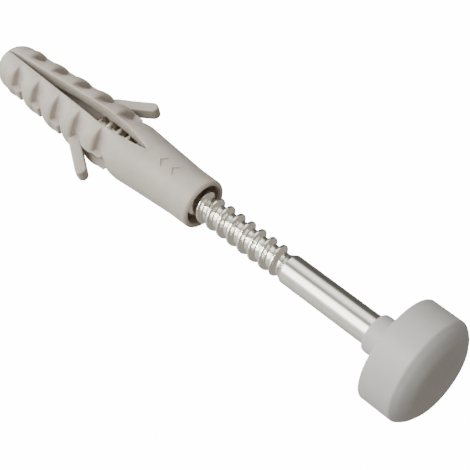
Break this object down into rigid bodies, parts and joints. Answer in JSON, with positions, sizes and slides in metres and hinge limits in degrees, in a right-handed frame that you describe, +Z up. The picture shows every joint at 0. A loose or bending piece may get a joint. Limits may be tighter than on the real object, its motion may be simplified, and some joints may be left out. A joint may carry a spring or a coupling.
{
  "type": "wall anchor",
  "caption": "Slotted nylon expansion plug with toothed legs and folding anti-rotation wings, and a long wood screw with a collar washer and round clip-on cover cap.",
  "frame": {"origin": "centre of the plug's mouth, in the plane of the wall face", "axes": "+X out of the wall along the screw towards the cap, +Z up through the plug's slot, +Y through the upper leg"},
  "size_m": [0.0945, 0.0178, 0.0168],
  "materials": {
    "nylon": "moulded nylon, satin",
    "plated_steel": "bright zinc plated, rolled thread",
    "grey_plastic": "moulded plastic, satin"
  },
  "bodies": {
    "plug": {"plug_sleeve": "nylon"},
    "upper_leg": {"upper_leg": "nylon"},
    "lower_leg": {"lower_leg": "nylon"},
    "upper_wing": {"upper_wing": "nylon"},
    "lower_wing": {"lower_wing": "nylon"},
    "washer": {"collar_washer": "grey_plastic"},
    "screw": {"wood_screw": "plated_steel"},
    "cap": {"cover_cap": "grey_plastic"}
  },
  "joints": [
    {"name": "screw_advance", "type": "slide", "parent": "plug", "child": "washer", "axis": [-1, 0, 0], "range_m": [0, 0.034]},
    {"name": "screw_turn", "type": "hinge", "parent": "washer", "child": "screw", "pos_m": [0, 0, 0], "axis": [-1, 0, 0], "range_deg": [0, 5570]},
    {"name": "upper_leg_spread", "type": "hinge", "parent": "plug", "child": "upper_leg", "pos_m": [-0.0125, 0.00477, 0], "axis": [0, 0, -1], "range_deg": [0, 5]},
    {"name": "lower_leg_spread", "type": "hinge", "parent": "plug", "child": "lower_leg", "pos_m": [-0.0125, -0.00477, 0], "axis": [0, 0, 1], "range_deg": [0, 5]},
    {"name": "upper_wing_fold", "type": "hinge", "parent": "upper_leg", "child": "upper_wing", "pos_m": [-0.0254, 0.0046, 0], "axis": [0, 0, -1], "range_deg": [0, 32], "stiffness_Nm_per_rad": 0.0005},
    {"name": "lower_wing_fold", "type": "hinge", "parent": "lower_leg", "child": "lower_wing", "pos_m": [-0.0254, -0.0046, 0], "axis": [0, 0, 1], "range_deg": [0, 32], "stiffness_Nm_per_rad": 0.0005},
    {"name": "cap_pull_off", "type": "slide", "parent": "washer", "child": "cap", "axis": [1, 0, 0], "range_m": [0, 0.012]}
  ],
  "couplings": [
    {"joint": "screw_turn", "follows": "screw_advance", "rad_per_m": 2856},
    {"joint": "upper_leg_spread", "follows": "screw_advance", "rad_per_m": 2.5667},
    {"joint": "lower_leg_spread", "follows": "screw_advance", "rad_per_m": 2.5667}
  ]
}
